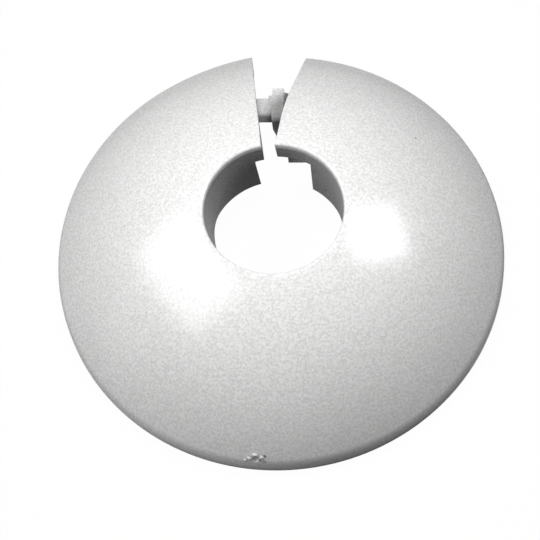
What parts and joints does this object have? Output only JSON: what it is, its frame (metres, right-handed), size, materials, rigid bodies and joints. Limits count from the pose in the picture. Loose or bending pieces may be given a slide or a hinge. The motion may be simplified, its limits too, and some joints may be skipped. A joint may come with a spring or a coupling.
{
  "type": "pipe escutcheon",
  "caption": "Domed split collar in white plastic that snaps round a heating pipe and hides the hole it comes through, with a central bore, a sleeve and a moulded-in latch.",
  "frame": {"origin": "on the pipe axis, at the base plane that rests on the floor or wall", "axes": "+Z along the pipe, out of the dome; the split opens towards +Y and the tongue points along +X"},
  "size_m": [0.051, 0.0509, 0.0139],
  "materials": {
    "white_plastic": "gloss, as moulded"
  },
  "bodies": {
    "root": {"escutcheon": "white_plastic"}
  },
  "joints": []
}
